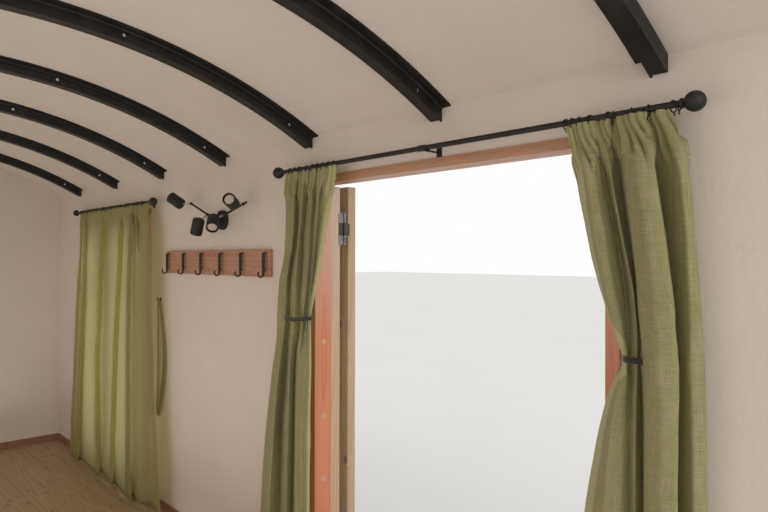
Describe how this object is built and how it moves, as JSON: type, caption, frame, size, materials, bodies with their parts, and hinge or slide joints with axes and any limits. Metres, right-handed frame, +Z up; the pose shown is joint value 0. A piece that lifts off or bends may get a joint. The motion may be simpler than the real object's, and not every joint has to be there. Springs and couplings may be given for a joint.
{
  "type": "railway carriage cabin end section with curtained doorway",
  "caption": "End section of a converted railway carriage: arched ceiling on black steel Z-bar hoops, a doorway with folded-back glazed doors, tied curtains, coat rack and spot light.",
  "frame": {"origin": "ground level, midway along the section and midway between the side walls", "axes": "+X along the carriage to its closed end, +Y away from the doorway side to the plain back wall, +Z up"},
  "size_m": [6.096, 2.969, 2.7586],
  "materials": {
    "painted_timber_frame": "dark painted timber",
    "floor_boards": "oiled boards",
    "wall_panel": "off-white painted lining, boards outside",
    "roof_skin": "off-white ceiling, grey outside",
    "black_steel": "satin black",
    "bright_steel": "zinc plated",
    "clear_glass": "clear",
    "lamp_glass": "frosted",
    "black_metal": "satin black",
    "green_linen": "slubbed linen weave",
    "black_band": "matt black",
    "redwood": "satin varnish",
    "dark_timber": "satin varnish",
    "door_timber": "clear oiled redwood"
  },
  "bodies": {
    "carriage": {"back_wall": "wall_panel", "coat_hooks": "black_metal", "coat_rack_board": "redwood", "curtain_left": "green_linen", "curtain_right": "green_linen", "end_wall": "wall_panel", "far_curtain": "green_linen", "far_curtain_pole": "black_metal", "far_curtain_pole_brackets": "black_metal", "far_curtain_rings": "black_metal", "far_door_glass": "clear_glass", "far_door_head": "door_timber", "far_door_jambs": "door_timber", "far_door_leaf": "door_timber", "far_tie_back": "green_linen", "floor_bearers": "painted_timber_frame", "floor_deck": "floor_boards", "front_wall_corner_panel": "wall_panel", "front_wall_middle_panel": "wall_panel", "front_wall_open_end_panel": "wall_panel", "front_wall_over_far_door": "wall_panel", "front_wall_over_main_door": "wall_panel", "main_curtain_pole": "black_metal", "main_curtain_pole_brackets": "black_metal", "main_curtain_rings": "black_metal", "main_door_head": "door_timber", "main_door_hinges": "bright_steel", "main_door_jambs": "door_timber", "main_door_sill": "door_timber", "roof_hoop_1": "black_steel", "roof_hoop_2": "black_steel", "roof_hoop_3": "black_steel", "roof_hoop_4": "black_steel", "roof_hoop_5": "black_steel", "roof_hoop_6": "black_steel", "roof_hoop_7": "black_steel", "roof_hoop_packing": "painted_timber_frame", "roof_panel_1": "roof_skin", "roof_panel_2": "roof_skin", "roof_panel_3": "roof_skin", "roof_panel_4": "roof_skin", "roof_panel_5": "roof_skin", "roof_panel_6": "roof_skin", "skirting": "dark_timber", "sole_bars": "painted_timber_frame", "spot_light": "black_metal", "spot_light_bulbs": "lamp_glass", "tie_backs": "black_band"},
    "left_door": {"main_door_left_glass": "clear_glass", "main_door_left_hinge_plates": "bright_steel", "main_door_left_leaf": "door_timber"},
    "right_door": {"main_door_right_glass": "clear_glass", "main_door_right_hinge_plates": "bright_steel", "main_door_right_leaf": "door_timber"}
  },
  "joints": [
    {"name": "left_door_hinge", "type": "hinge", "parent": "carriage", "child": "left_door", "pos_m": [-0.875, -1.414, 1.2], "axis": [0, 0, -1], "range_deg": [0, 180]},
    {"name": "right_door_hinge", "type": "hinge", "parent": "carriage", "child": "right_door", "pos_m": [-2.31, -1.414, 1.2], "axis": [0, 0, 1], "range_deg": [0, 180]}
  ]
}
